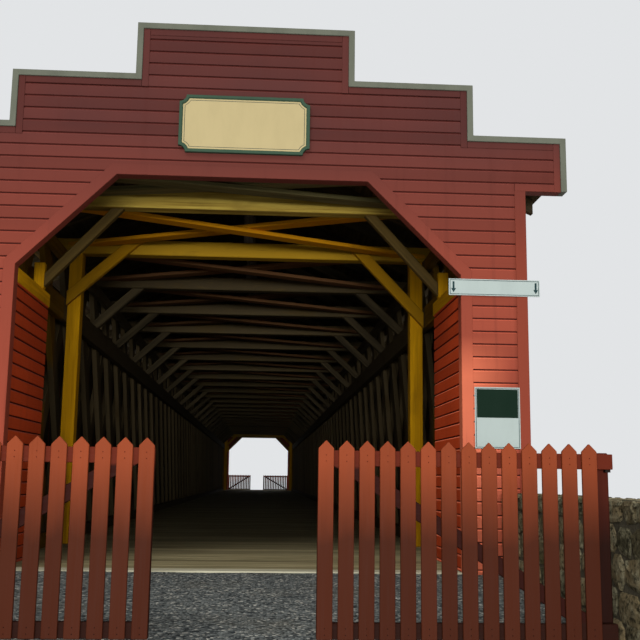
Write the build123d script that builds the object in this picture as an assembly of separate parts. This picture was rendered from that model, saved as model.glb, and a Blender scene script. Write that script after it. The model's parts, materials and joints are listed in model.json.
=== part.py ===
"""A covered lattice-truss bridge of two spans, as a half-size model in millimetres.

Every length here is half that of the full-size bridge. X runs across the roadway, Y along it
and Z up. The origin is on the ground under the middle of the bridge, at the foot of the masonry.
Heights that belong to the timberwork are given above the roadway and raised by deck_height.
"""
import math
import os

from build123d import *

# Roadway and heights
deck_height = 2300  # top of the deck above the foot of the masonry
deck_thickness = 50
stringer_depth = 200
floor_beam_depth = 170
deck_side_gap = 10  # deck edge to the chords
clear_height = 1880  # deck to the tie beams' undersides

# Lattice trusses
panel = 577  # lattice module along the truss
panel_count = 52
course = 495  # height between two levels of crossings
upper_course = 4  # level of crossings that carries the upper chords
chord_plank = 50
chord_depth = 140
top_chord_depth = 70
web_plank = 37.5
web_width = 135
end_post_length = 100
siding_board = 15
light_gap = 85  # open strip between the siding and the top chords
siding_drop = 40  # siding hangs this far below the lower chord

# Portal walls: half-widths of the three steps, and their heights over the tie beams' undersides
shelter_depth = 623  # portal face to the end of the trusses
portal_wall = 60
cladding = 25  # room kept for siding boards on the portal face
coping = 30
coping_overhang = 20
soffit_drop = 25  # underside of the lowest step, below the tie beams' undersides
lower_step_rise = 255
middle_step_half = 1145
middle_step_rise = 520
top_step_half = 545
top_step_rise = 790
opening_half = 1075
chord_setback = 100  # edge of the opening to the inner chords
post_setback = 15  # edge of the opening to the posts
jamb_width = 330  # edge of the opening to the corner of the portal
soffit_reach = 210  # corner of the portal to the end of its lowest step
casing_width = 55
casing_thickness = 12

# Shelter walls just inside the portals
return_height = 1345
return_thickness = 30
return_setback = 10  # room kept for siding boards on the return panels
plate_depth = 75
return_past_truss = 120
plate_past_truss = 150
plate_block_width = 57

# Timber above the roadway
tie_size = 100
tie_panels = 2  # one tie beam every two panels
tie_end_reach = 50  # ends of the chords to the outer faces of the end tie beams
knee_size = 62
knee_reach = 345  # inner chords to the lower edge of a knee brace, under the tie beam
first_knee_size = 50
first_knee_angle = 47.5
first_knee_lift = 10  # over the shelter plate
plate_block_lift = 60  # over the first knee brace
second_knee_size = 70
second_knee_thickness = 45
second_knee_angle_left = 42.5
second_knee_drop_left = 266  # from the tie beam's underside, at the edge of the opening
second_knee_angle_right = 46.5
second_knee_drop_right = 350
king_post_size = 65
lateral_width = 100
lateral_thickness = 25
lateral_gap = 95  # ends of the lateral planks to the inner chords
wall_plate_width = 100
wall_plate_depth = 50

# Roof
roof_pitch = 0.44
rafter_seat = 90
eave_reach = 165  # wall plate to the eave
roof_thickness = 30
rafter_depth = 80
rafter_width = 40
rafter_tail_cut = 30
ridge_board_width = 25
ridge_board_depth = 95

# Floor
floor_beam_web_gap = 8
stringer_width = 75
stringer_count = 5
stringer_gap = 140  # outer joists to the inner chords
threshold_length = 125

# Masonry
bed_timber_depth = 100
bed_timber_width = 150
bed_timber_spacing = 400
approach_margin = 175  # edge of the opening to the walls beside the approach
parapet_thickness = 250
parapet_top = 370
approach_length = 2300
approach_step = 5
approach_slope = 0.036
seat_length = 900
seat_gap = 10
abutment_batter = 100
pier_ledge = 100  # outer chords to the sides of the pier
pier_length = 700
pier_batter = 80

# Picket gates across the approaches
gate_distance = 1650  # portal face to the line of the hinge pins
gate_post = 45
gate_post_top = 515
hinge_offset = 12  # hinge pin to the post and to the leaf
hinge_edge = 8  # hinge pin to the outer side of the post
gate_side_gap = 62  # post to the parapet
walk_gap = 484  # between the two leaves
walk_gap_shift = 48  # middle of the gap to the middle of the roadway
leaf_past_pin = 5
leaf_foot = -34
rail_top = 510
rail_depth = 46
rail_thickness = 25
stile_width = 46
stile_thickness = 13
short_leaf_picket_count = 14
long_leaf_picket_count = 15
picket_width = 46
picket_thickness = 11
picket_top = 540
picket_point = 24
picket_edge_gap = 47  # last picket to the hinge pin
brace_width = 42
strap_length = 200
strap_height = 30
strap_thickness = 4
knuckle_radius = 9
pin_radius = 5
pin_clearance = 0.3
pintle_depth = 16
pin_stub = 6

# Signs on the near portal
plaque_width = 646
plaque_tall = 294
plaque_gap = 65  # over the casing of the opening
plaque_thickness = 30
plaque_notch = 34
height_board_width = 450
height_board_tall = 82
height_board_lap = 61  # reach of the board into the opening
height_board_drop = 20  # below the corner of the opening
height_board_thickness = 6
weight_board_width = 220
weight_board_tall = 293
weight_board_gap = 5  # beside the casing
weight_board_foot = 578
weight_board_thickness = 14

# Worked out from the sizes above
truss_half = panel * panel_count / 2
portal_face = truss_half + shelter_depth
wall_back = portal_face - portal_wall
chord_face = opening_half + chord_setback
web_face = chord_face + chord_plank
web_middle = web_face + web_plank
web_back = web_middle + web_plank
chord_back = web_back + chord_plank
stringer_bottom = -deck_thickness - stringer_depth
floor_beam_bottom = stringer_bottom - floor_beam_depth
truss_bottom = floor_beam_bottom - chord_depth
chord_levels = [truss_bottom + chord_depth / 2 + course * n for n in (0, 1, upper_course)]
upper_chord_top = chord_levels[-1] + chord_depth / 2
lower_half = opening_half + jamb_width
lower_step_half = lower_half + soffit_reach
siding_top = clear_height - top_chord_depth - light_gap
lattice_slope = course / (panel / 2)
lattice_angle = math.atan(lattice_slope)
tie_top = clear_height + tie_size
end_tie = truss_half + tie_end_reach - tie_size / 2
inner_ties = [-truss_half + panel * tie_panels * n for n in range(1, panel_count // tie_panels)]
tie_places = [-end_tie, *inner_ties, end_tie]
plate_top = return_height + plate_depth
half_panels = [-truss_half + panel * (n + 0.5) for n in range(panel_count)]
panel_points = [-truss_half + panel * n for n in range(1, panel_count)]
knee_slope = (clear_height - upper_chord_top) / knee_reach
knee_level_cut = knee_size * math.hypot(1, knee_slope) / knee_slope
seat_height = truss_bottom - bed_timber_depth
backwall_face = truss_half + end_post_length + seat_gap
river_face = backwall_face - seat_length
parapet_face = opening_half + approach_margin
abutment_half = parapet_face + parapet_thickness
pier_half = chord_back + pier_ledge
approach_end = portal_face + approach_length
gate_line = portal_face + gate_distance
post_outer = parapet_face - gate_side_gap
pin_across = post_outer - hinge_edge
soffit_height = clear_height - soffit_drop
opening_flat_half = opening_half - (clear_height - plate_top)
wall_plate_top = clear_height + wall_plate_depth
wall_plate_outer = web_back + wall_plate_width
eave_half = wall_plate_outer + eave_reach
rafter_underside = wall_plate_top + roof_pitch * (wall_plate_outer - rafter_seat)
roof_underside = rafter_underside + rafter_depth
ridge_height = roof_underside + roof_thickness
plaque_foot = clear_height + casing_width + plaque_gap


def block(x_range, y_range, z_range):
    """Box between two corners, with heights above the roadway."""
    size = (x_range[1] - x_range[0], y_range[1] - y_range[0], z_range[1] - z_range[0])
    corner = Pos(x_range[0], y_range[0], z_range[0] + deck_height)
    return corner * Box(*size, align=(Align.MIN, Align.MIN, Align.MIN))


def run_along(outline, y_start, y_end):
    """An (x, z) outline run along the bridge."""
    edge = Polyline(*[(x, y_start, z + deck_height) for x, z in outline], close=True)
    return extrude(make_face(edge), amount=y_end - y_start, dir=(0, 1, 0))


def run_across(outline, x_start, x_end):
    """A (y, z) outline run across the bridge."""
    edge = Polyline(*[(x_start, y, z + deck_height) for y, z in outline], close=True)
    return extrude(make_face(edge), amount=x_end - x_start, dir=(1, 0, 0))


def run_up(outline, z_start, z_end):
    """An (x, y) outline run upwards."""
    edge = Polyline(*[(x, y, z_start + deck_height) for x, y in outline], close=True)
    return extrude(make_face(edge), amount=z_end - z_start, dir=(0, 0, 1))


def mirrored_outline(outline):
    """A right-hand (x, z) outline and its mirror image, joined into one."""
    return outline + [(-x, z) for x, z in reversed(outline)]


def both_sides(piece):
    """A piece on the right and its mirror image on the left."""
    return [piece, mirror(piece, about=Plane.YZ)]


def turned(piece):
    """The same piece at the other end of the bridge."""
    return Rot(0, 0, 180) * piece


def both_ends(pieces):
    """Pieces of the near end, and the same pieces at the far end."""
    return pieces + [turned(piece) for piece in pieces]


def approach_top(distance):
    """Height of the approach, this far along the bridge from its middle."""
    return -approach_step - approach_slope * (distance - portal_face)


# Masonry


def near_abutment():
    """Seat, backwall and filled approach as one mass of masonry."""
    foot = -deck_height
    core = [
        (-approach_end, foot),
        (-approach_end, approach_top(approach_end)),
        (-portal_face, approach_top(portal_face)),
        (-portal_face, stringer_bottom),
        (-backwall_face, stringer_bottom),
        (-backwall_face, seat_height),
        (-river_face, seat_height),
        (-river_face + abutment_batter, foot),
    ]
    seat = [
        (-portal_face - cladding, foot),
        (-portal_face - cladding, seat_height),
        (-river_face, seat_height),
        (-river_face + abutment_batter, foot),
    ]
    return run_across(core, -parapet_face, parapet_face) + run_across(seat, -abutment_half, abutment_half)


def centre_pier():
    """Battered pier under the middle of the trusses."""
    foot = Pos(0, 0, 0) * Rectangle(2 * (pier_half + pier_batter), pier_length + 2 * pier_batter)
    top = Pos(0, 0, deck_height + seat_height) * Rectangle(2 * pier_half, pier_length)
    return loft([foot, top], ruled=True)


def parapets():
    """Walls beside the approaches, down to the ground."""
    wall = block(
        (parapet_face, abutment_half),
        (-approach_end, -portal_face - cladding),
        (-deck_height, parapet_top),
    )
    return both_ends(both_sides(wall))


def bed_timbers():
    """Timbers across the seats that the lower chords rest on."""
    first = -backwall_face + bed_timber_spacing / 2
    places = [first, first + bed_timber_spacing, -bed_timber_spacing / 2]
    timbers = []
    for place in places + [-place for place in places]:
        along = (place, place + bed_timber_width) if place < 0 else (place - bed_timber_width, place)
        timbers.append(block((-chord_back, chord_back), along, (seat_height, truss_bottom)))
    return timbers


# Trusses


def chords():
    """Inner and outer chord planks of the right-hand truss."""
    bands = [(level - chord_depth / 2, level + chord_depth / 2) for level in chord_levels]
    bands.append((clear_height - top_chord_depth, clear_height))
    return [
        block((start, start + chord_plank), (-truss_half, truss_half), band)
        for band in bands
        for start in (chord_face, web_back)
    ]


def web_layer(x_start, lean):
    """One layer of sloping lattice planks, leaning one way."""
    half_cut = web_width / 2 / math.sin(lattice_angle)
    foot_run = chord_depth / 2 / lattice_slope
    full_run = (clear_height - truss_bottom) / lattice_slope
    envelope = block(
        (x_start, x_start + web_plank),
        (-truss_half, truss_half),
        (truss_bottom, clear_height),
    )
    spare = math.ceil(full_run / panel) + 1
    planks = []
    for step in range(-spare, panel_count + spare):
        foot = (-truss_half + panel * step - foot_run) * lean + panel / 2
        head = foot + full_run * lean
        if max(foot, head) + half_cut <= -truss_half or min(foot, head) - half_cut >= truss_half:
            continue
        outline = [
            (foot - half_cut, truss_bottom),
            (foot + half_cut, truss_bottom),
            (head + half_cut, clear_height),
            (head - half_cut, clear_height),
        ]
        plank = run_across(outline, x_start, x_start + web_plank)
        reach = max(abs(foot), abs(head)) + half_cut
        planks.append(plank & envelope if reach > truss_half else plank)
    return planks


def truss_end_posts():
    """Posts that close the ends of the trusses."""
    post = block(
        (chord_face, chord_back),
        (-truss_half - end_post_length, -truss_half),
        (truss_bottom, clear_height),
    )
    return both_ends(both_sides(post))


# Floor


def floor_beams():
    """Beams through the gaps of the lattice on the lower chords, one in each panel."""
    rise = chord_depth / 2 + floor_beam_depth
    clear_half = panel / 2 - rise / lattice_slope - web_width / 2 / math.sin(lattice_angle)
    half = clear_half - floor_beam_web_gap
    return [
        block((-chord_back, chord_back), (place - half, place + half), (floor_beam_bottom, stringer_bottom))
        for place in panel_points
    ]


def stringers():
    """Lines of joists along the bridge."""
    outer = chord_face - stringer_gap
    pitch = 2 * outer / (stringer_count - 1)
    end = portal_face - seat_gap
    lines = [-outer + pitch * n for n in range(stringer_count)]
    return [
        block(
            (line - stringer_width / 2, line + stringer_width / 2),
            (-end, end),
            (stringer_bottom, -deck_thickness),
        )
        for line in lines
    ]


def deck():
    """Plank floor between the trusses and out to the thresholds."""
    half = chord_face - deck_side_gap
    end = portal_face - threshold_length
    return block((-half, half), (-end, end), (-deck_thickness, 0))


def thresholds():
    """Timbers across the ends of the deck, in the portal openings."""
    timber = block(
        (-opening_half, opening_half),
        (-portal_face, -portal_face + threshold_length),
        (-deck_thickness, 0),
    )
    return both_ends([timber])


# Timber above the roadway


def tie_beams():
    """Beams across the upper chords, two panels apart."""
    return [
        block((-web_back, web_back), (place - tie_size / 2, place + tie_size / 2), (clear_height, tie_top))
        for place in tie_places
    ]


def knee_braces():
    """Braces from the upper inner chords to the tie beams, past the two end frames."""
    inner = chord_face - knee_reach
    outer = inner + knee_level_cut
    outline = [
        (chord_face, upper_chord_top),
        (web_face, upper_chord_top),
        (web_face, clear_height - (web_face - outer) * knee_slope),
        (outer, clear_height),
        (inner, clear_height),
    ]
    braces = []
    for place in tie_places[2:-2]:
        braces += both_sides(run_along(outline, place - knee_size / 2, place + knee_size / 2))
    return braces


def brace_outline(low, angle, size, foot, head):
    """Right-hand brace from x = foot up to z = head, its lower edge at low beside the opening."""
    slope = math.tan(math.radians(angle))
    high = low + size / math.cos(math.radians(angle))
    run = foot - opening_half
    return [
        (foot, low - run * slope),
        (foot, high - run * slope),
        (opening_half - (head - high) / slope, head),
        (opening_half - (head - low) / slope, head),
    ]


def first_knee_outline():
    """Outline of the braces from the plate blocks to the first tie beam."""
    low = plate_top + first_knee_lift
    return brace_outline(low, first_knee_angle, first_knee_size, opening_half, clear_height)


def portal_knee_braces():
    """Braces of the first frame, and those nailed on the faces of the second frame."""
    place = tie_places[0]
    braces = both_sides(
        run_along(first_knee_outline(), place - first_knee_size / 2, place + first_knee_size / 2)
    )
    face = tie_places[1] - tie_size / 2
    for drop, angle, side in (
        (second_knee_drop_right, second_knee_angle_right, 1),
        (second_knee_drop_left, second_knee_angle_left, -1),
    ):
        outline = brace_outline(clear_height - drop, angle, second_knee_size, chord_face, tie_top)
        brace = [(side * x, z) for x, z in outline]
        braces.append(run_along(brace, face - second_knee_thickness, face))
    return both_ends(braces)


def portal_posts():
    """Posts under the second tie beam from each end."""
    place = tie_places[1]
    post = block(
        (opening_half + post_setback, chord_face),
        (place - tie_size / 2, place + tie_size / 2),
        (0, clear_height),
    )
    return both_ends(both_sides(post))


def king_posts():
    """Posts from the tie beams to the ridge board."""
    top = roof_underside - roof_pitch * ridge_board_width / 2 - ridge_board_depth
    half = king_post_size / 2
    return [block((-half, half), (place - half, place + half), (tie_top, top)) for place in tie_places]


def lateral_braces(lean, level):
    """Planks laid diagonally between the tie beams, leaning one way."""
    bays = [(a + tie_size / 2, b - tie_size / 2) for a, b in zip(tie_places, tie_places[1:])]
    bays = [(-wall_back, bays[0][0] - tie_size)] + bays + [(bays[-1][1] + tie_size, wall_back)]
    half = chord_face - lateral_gap
    planks = []
    for start, end in bays:
        half_cut = lateral_width / 2 * math.hypot(end - start, 2 * half) / (end - start)
        outline = [
            (-lean * half - half_cut, start),
            (-lean * half + half_cut, start),
            (lean * half + half_cut, end),
            (lean * half - half_cut, end),
        ]
        planks.append(run_up(outline, level, level + lateral_thickness))
    return planks


def wall_plates():
    """Plates on the outer upper chords, from portal to portal."""
    plate = block(
        (web_back, wall_plate_outer),
        (-wall_back, wall_back),
        (clear_height, wall_plate_top),
    )
    return both_sides(plate)


# Roof


def rafters():
    """Pairs of rafters notched over the wall plates, one pair in each panel."""
    inner = ridge_board_width / 2
    tail = eave_half - rafter_tail_cut
    outline = [
        (inner, roof_underside - roof_pitch * inner),
        (tail, roof_underside - roof_pitch * tail),
        (tail, rafter_underside - roof_pitch * tail),
        (wall_plate_outer, rafter_underside - roof_pitch * wall_plate_outer),
        (wall_plate_outer, wall_plate_top),
        (wall_plate_outer - rafter_seat, wall_plate_top),
        (inner, rafter_underside - roof_pitch * inner),
    ]
    places = [half_panels[0] - panel] + half_panels + [half_panels[-1] + panel]
    pairs = []
    for place in places:
        pairs += both_sides(run_along(outline, place - rafter_width / 2, place + rafter_width / 2))
    return pairs


def ridge_board():
    """Board between the heads of the rafters."""
    half = ridge_board_width / 2
    top = roof_underside - roof_pitch * half
    return block((-half, half), (-wall_back, wall_back), (top - ridge_board_depth, top))


def roof_slope():
    """Boarding and shingles of the right-hand slope."""
    outline = [
        (0, ridge_height),
        (eave_half, ridge_height - roof_pitch * eave_half),
        (eave_half, roof_underside - roof_pitch * eave_half),
        (0, roof_underside),
    ]
    return run_along(outline, -wall_back, wall_back)


# Walls


def siding():
    """Upright boards outside the right-hand truss."""
    return block(
        (chord_back, chord_back + siding_board),
        (-wall_back, wall_back),
        (truss_bottom - siding_drop, siding_top),
    )


def opening_outline(foot):
    """Right half of the portal opening, from its foot to its middle."""
    return [
        (opening_half, foot),
        (opening_half, plate_top),
        (opening_flat_half, clear_height),
    ]


def stepped_outline(inset):
    """Right half of the stepped top of a portal, set in from the coping's outer edge."""
    halves = [lower_step_half, middle_step_half, top_step_half]
    rises = [lower_step_rise, middle_step_rise, top_step_rise]
    points = [(lower_step_half - inset, soffit_height)]
    for half, inner_half, rise in zip(halves, halves[1:] + [None], rises):
        top = clear_height + rise - inset
        points.append((half - inset, top))
        if inner_half is not None:
            points.append((inner_half - inset, top))
    return points


def portal_front():
    """Near portal wall: a stepped false front with a chamfered opening."""
    wall = [(lower_half, stringer_bottom), (lower_half, soffit_height)] + stepped_outline(coping)
    front = run_along(mirrored_outline(wall), -portal_face, -wall_back)
    opening = run_along(mirrored_outline(opening_outline(stringer_bottom)), -portal_face, -wall_back)
    return front - opening


def portal_coping():
    """Board along the stepped edge of the near portal."""
    band = mirrored_outline(stepped_outline(0)) + mirrored_outline(stepped_outline(coping))[::-1]
    return run_along(band, -portal_face - coping_overhang, -wall_back)


def opening_casing():
    """Boards round the near portal opening."""
    start = -portal_face - casing_thickness
    edge = Polyline(
        *[(x, start, z + deck_height) for x, z in mirrored_outline(opening_outline(-2 * casing_width))],
        close=True,
    )
    opening = make_face(edge)
    outer = offset(opening, amount=casing_width, kind=Kind.INTERSECTION)
    ring = extrude(outer, amount=casing_thickness, dir=(0, 1, 0))
    ring -= extrude(opening, amount=casing_thickness, dir=(0, 1, 0))
    reach = opening_half + 2 * casing_width
    return ring & block((-reach, reach), (start, -portal_face), (0, clear_height + 2 * casing_width))


def return_panels():
    """Boarded walls beside the roadway, from the portals to the trusses."""
    panel_wall = block(
        (opening_half + return_setback, opening_half + return_setback + return_thickness),
        (-wall_back, -truss_half + return_past_truss),
        (0, return_height),
    )
    return both_ends(both_sides(panel_wall))


def shelter_plates():
    """Beams along the tops of the return panels."""
    plate = block(
        (opening_half, chord_face),
        (-wall_back, -truss_half + plate_past_truss),
        (return_height, plate_top),
    )
    return both_ends(both_sides(plate))


def plate_blocks():
    """Uprights on the shelter plates that take the feet of the first braces."""
    top = first_knee_outline()[1][1] + plate_block_lift
    place = tie_places[0]
    upright = block(
        (opening_half, opening_half + plate_block_width),
        (place - first_knee_size / 2, place + first_knee_size / 2),
        (plate_top, top),
    )
    return both_ends(both_sides(upright))


# Signs


def name_plaque():
    """Raised plaque with hollow corners above the near opening."""
    back = -portal_face
    plaque = block(
        (-plaque_width / 2, plaque_width / 2),
        (back - plaque_thickness, back),
        (plaque_foot, plaque_foot + plaque_tall),
    )
    for x in (-plaque_width / 2, plaque_width / 2):
        for z in (plaque_foot, plaque_foot + plaque_tall):
            corner = Pos(x, back - plaque_thickness / 2, z + deck_height) * Rot(90, 0, 0)
            plaque -= corner * Cylinder(plaque_notch, plaque_thickness)
    return plaque


def height_board():
    """Long board across the right-hand casing."""
    left = opening_half - height_board_lap
    head = plate_top - height_board_drop
    back = -portal_face - casing_thickness
    return block(
        (left, left + height_board_width),
        (back - height_board_thickness, back),
        (head - height_board_tall, head),
    )


def weight_board():
    """Upright board on the right-hand jamb."""
    left = opening_half + casing_width + weight_board_gap
    return block(
        (left, left + weight_board_width),
        (-portal_face - weight_board_thickness, -portal_face),
        (weight_board_foot, weight_board_foot + weight_board_tall),
    )


# Gates


def leaf_frame(free_end):
    """Rails, free stile and brace of a near right-hand leaf."""
    back = -gate_line - hinge_offset
    front = back - rail_thickness
    outer_end = pin_across + leaf_past_pin
    foot_rail_top = leaf_foot + rail_depth
    head_rail_foot = rail_top - rail_depth
    frame = block((free_end, outer_end), (front, back), (leaf_foot, foot_rail_top))
    frame += block((free_end, outer_end), (front, back), (head_rail_foot, rail_top))
    frame += block((free_end, free_end + stile_width), (back - stile_thickness, back), (leaf_foot, rail_top))
    inner_x = free_end + stile_width
    outer_x = outer_end - stile_width
    rise = head_rail_foot - foot_rail_top
    level_cut = brace_width * math.hypot(rise, outer_x - inner_x) / rise
    brace = [
        (inner_x, head_rail_foot),
        (inner_x + level_cut, head_rail_foot),
        (outer_x, foot_rail_top),
        (outer_x - level_cut, foot_rail_top),
    ]
    return frame + run_along(brace, front, back)


def leaf_pickets(free_end, count):
    """Pointed pickets on the outer side of a near right-hand leaf."""
    back = -gate_line - hinge_offset - rail_thickness
    front = back - picket_thickness
    last = pin_across - picket_edge_gap - picket_width
    pitch = (last - free_end) / (count - 1)
    pickets = []
    for step in range(count):
        left = free_end + pitch * step
        outline = [
            (left, leaf_foot),
            (left + picket_width, leaf_foot),
            (left + picket_width, picket_top - picket_point),
            (left + picket_width / 2, picket_top),
            (left, picket_top - picket_point),
        ]
        pickets.append(run_along(outline, front, back))
    return pickets


def hinge_levels():
    """Middle heights of the two hinges of a leaf."""
    return [leaf_foot + rail_depth / 2, rail_top - rail_depth / 2]


def leaf_straps():
    """Straps with knuckles on the rails of a near right-hand leaf."""
    back = -gate_line - hinge_offset
    straps = []
    for level in hinge_levels():
        height = (level - strap_height / 2, level + strap_height / 2)
        strap = block((pin_across - strap_length, pin_across), (back, back + strap_thickness), height)
        knuckle = Pos(pin_across, -gate_line, level + deck_height) * Cylinder(knuckle_radius, strap_height)
        bore = Pos(pin_across, -gate_line, level + deck_height) * Cylinder(
            pin_radius + pin_clearance, strap_height
        )
        straps.append(strap + knuckle - bore)
    return straps


def gate_pintles():
    """Pins on the near right-hand post that the knuckles turn on."""
    pintles = []
    for level in hinge_levels():
        shoulder = level - strap_height / 2 - pin_clearance
        shank = block(
            (pin_across - hinge_edge, pin_across + hinge_edge),
            (-gate_line - hinge_edge, -gate_line + hinge_offset),
            (shoulder - pintle_depth, shoulder),
        )
        length = strap_height + pin_clearance + pin_stub
        pin = Pos(pin_across, -gate_line, shoulder + length / 2 + deck_height) * Cylinder(pin_radius, length)
        pintles.append(shank + pin)
    return pintles


def gate_post_near():
    """Near right-hand gate post, its foot cut to the slope of the approach."""
    near = -gate_line + hinge_offset
    far = near + gate_post
    outline = [
        (near, approach_top(-near)),
        (far, approach_top(-far)),
        (far, gate_post_top),
        (near, gate_post_top),
    ]
    return run_across(outline, post_outer - gate_post, post_outer)


def leaf(free_end, picket_count):
    """Frame, pickets and straps of a near right-hand leaf."""
    return {
        "frame": [leaf_frame(free_end)],
        "pickets": leaf_pickets(free_end, picket_count),
        "straps": leaf_straps(),
    }


nodes = {
    "abutment_near": [near_abutment()],
    "abutment_far": [turned(near_abutment())],
    "centre_pier": [centre_pier()],
    "parapets": parapets(),
    "bed_timbers": bed_timbers(),
    "chords_right": chords(),
    "chords_left": [mirror(plank, about=Plane.YZ) for plank in chords()],
    "web_inner_right": web_layer(web_face, 1),
    "web_outer_right": web_layer(web_middle, -1),
    "web_inner_left": [turned(plank) for plank in web_layer(web_face, 1)],
    "web_outer_left": [turned(plank) for plank in web_layer(web_middle, -1)],
    "truss_end_posts": truss_end_posts(),
    "floor_beams": floor_beams(),
    "stringers": stringers(),
    "deck": [deck()],
    "thresholds": thresholds(),
    "tie_beams": tie_beams(),
    "knee_braces": knee_braces(),
    "portal_knee_braces": portal_knee_braces(),
    "portal_posts": portal_posts(),
    "king_posts": king_posts(),
    "lateral_braces_lower": lateral_braces(1, clear_height + tie_size / 2 - lateral_thickness),
    "lateral_braces_upper": lateral_braces(-1, clear_height + tie_size / 2),
    "wall_plates": wall_plates(),
    "rafters": rafters(),
    "ridge_board": [ridge_board()],
    "roof_right": [roof_slope()],
    "roof_left": [mirror(roof_slope(), about=Plane.YZ)],
    "siding_right": [siding()],
    "siding_left": [mirror(siding(), about=Plane.YZ)],
    "portal_wall_near": [portal_front()],
    "portal_wall_far": [turned(portal_front())],
    "portal_coping": both_ends([portal_coping()]),
    "opening_casing": both_ends([opening_casing()]),
    "return_panels": return_panels(),
    "shelter_plates": shelter_plates(),
    "plate_blocks": plate_blocks(),
    "name_plaque": [name_plaque()],
    "height_board": [height_board()],
    "weight_board": [weight_board()],
    "gate_posts": both_ends(both_sides(gate_post_near())),
    "gate_pintles": both_ends([piece for pintle in gate_pintles() for piece in both_sides(pintle)]),
}
for kind, pieces in leaf(walk_gap / 2 + walk_gap_shift, short_leaf_picket_count).items():
    nodes[f"near_right_gate_{kind}"] = pieces
    nodes[f"far_left_gate_{kind}"] = [turned(piece) for piece in pieces]
for kind, pieces in leaf(walk_gap / 2 - walk_gap_shift, long_leaf_picket_count).items():
    mirrored = [mirror(piece, about=Plane.YZ) for piece in pieces]
    nodes[f"near_left_gate_{kind}"] = mirrored
    nodes[f"far_right_gate_{kind}"] = [turned(piece) for piece in mirrored]

os.makedirs("parts", exist_ok=True)
for name, pieces in nodes.items():
    solids = [solid for piece in pieces for solid in piece.solids()]
    export_step(Compound(solids), f"parts/{name}.step")
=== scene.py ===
"""Looks of a covered lattice-truss bridge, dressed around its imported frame.

All lengths are in metres at the model's half size. X runs across the roadway, Y along it and
Z up, as in the frame. The near portal is at the low end of Y.
"""
import json
import math
import random

import bmesh
import bpy
from mathutils import Matrix, Vector

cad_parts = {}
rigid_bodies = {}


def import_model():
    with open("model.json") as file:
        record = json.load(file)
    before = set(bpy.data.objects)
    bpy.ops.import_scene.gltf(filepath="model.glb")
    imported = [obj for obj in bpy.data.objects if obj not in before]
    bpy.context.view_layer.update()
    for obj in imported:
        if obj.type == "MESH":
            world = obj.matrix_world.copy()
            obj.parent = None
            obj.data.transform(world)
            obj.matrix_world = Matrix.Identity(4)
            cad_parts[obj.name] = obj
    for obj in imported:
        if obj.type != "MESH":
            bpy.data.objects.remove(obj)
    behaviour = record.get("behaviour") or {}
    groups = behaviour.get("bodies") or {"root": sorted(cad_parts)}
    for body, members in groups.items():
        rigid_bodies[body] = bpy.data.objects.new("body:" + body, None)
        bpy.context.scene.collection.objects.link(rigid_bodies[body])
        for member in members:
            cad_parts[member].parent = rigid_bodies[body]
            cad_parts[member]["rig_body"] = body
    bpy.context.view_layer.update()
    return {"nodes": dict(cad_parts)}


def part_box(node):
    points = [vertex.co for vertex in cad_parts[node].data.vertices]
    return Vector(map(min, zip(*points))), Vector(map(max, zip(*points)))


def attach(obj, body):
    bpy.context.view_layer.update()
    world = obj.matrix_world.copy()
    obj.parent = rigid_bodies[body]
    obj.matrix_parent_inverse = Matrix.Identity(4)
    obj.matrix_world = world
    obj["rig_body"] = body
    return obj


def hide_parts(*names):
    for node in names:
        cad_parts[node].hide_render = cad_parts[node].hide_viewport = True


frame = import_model()
X, Y, Z = Vector((1, 0, 0)), Vector((0, 1, 0)), Vector((0, 0, 1))


def corners_of(node):
    """The corners of a node, all in the frame."""
    return [vert.co for vert in frame["nodes"][node].data.vertices]


def nearest(node, axis):
    """The least distance of a node's corners from the middle of the bridge, along an axis."""
    return min(abs(point.dot(axis)) for point in corners_of(node))


def stand(name, data):
    """An object for a mesh, lamp or camera, put into the scene."""
    thing = bpy.data.objects.new(name, data)
    bpy.context.scene.collection.objects.link(thing)
    return thing


def hand_over(piece, body, replaced=()):
    """Lets a piece ride on a body and stand for nodes of the frame."""
    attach(piece, body)
    if replaced:
        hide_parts(*replaced)


def ring_faces(count, rings):
    """Four-sided faces between rings of points, one ring after another."""
    faces = []
    for start in range(0, count * (rings - 1), count):
        for i in range(count):
            first, second = start + i, start + (i + 1) % count
            faces.append((first, second, second + count, first + count))
    return faces


# Places read from the frame
deck_low, deck_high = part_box("deck")
deck_top = deck_high.z
portal_face = -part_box("portal_wall_near")[0].y
wall_back = -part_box("portal_wall_near")[1].y
casing_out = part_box("opening_casing")[1].x
casing_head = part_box("opening_casing")[1].z
casing_width = casing_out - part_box("thresholds")[1].x
clear_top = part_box("tie_beams")[0].z
plate_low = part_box("shelter_plates")[0].z
plate_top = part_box("shelter_plates")[1].z
casing_knee = plate_top + casing_width * math.tan(math.radians(22.5))  # it leans in from here up
coping_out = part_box("portal_coping")[1].x
coping_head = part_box("portal_coping")[1].z
soffit_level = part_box("portal_coping")[0].z
lower_half = max(point.x for point in corners_of("portal_wall_near") if point.z < soffit_level - 0.1)
return_face = nearest("return_panels", X)
return_end = max(point.y for point in corners_of("return_panels") if point.y < 0)
roof_low, roof_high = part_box("roof_right")
approach_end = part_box("parapets")[1].y
parapet_inner = nearest("parapets", X)
parapet_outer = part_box("parapets")[1].x
parapet_start = nearest("parapets", Y)
parapet_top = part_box("parapets")[1].z
seat_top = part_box("centre_pier")[1].z
backwall = min(abs(point.y) for point in corners_of("abutment_near") if point.z > seat_top + 0.01)
seat_front = nearest("abutment_near", Y)
approach_start_level = max(point.z for point in corners_of("abutment_near"))
far_corners = [point for point in corners_of("abutment_near") if point.y < 0.001 - approach_end]
approach_end_level = max(point.z for point in far_corners)
gate_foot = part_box("near_right_gate_frame")[0].z
gate_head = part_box("near_right_gate_frame")[1].z

# Steps of the portals, as on the portal walls: half-width and head
steps = (
    (coping_out, clear_top + 0.255),
    (1.145, clear_top + 0.520),
    (0.545, coping_head),
)
coping_width = 0.030

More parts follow.
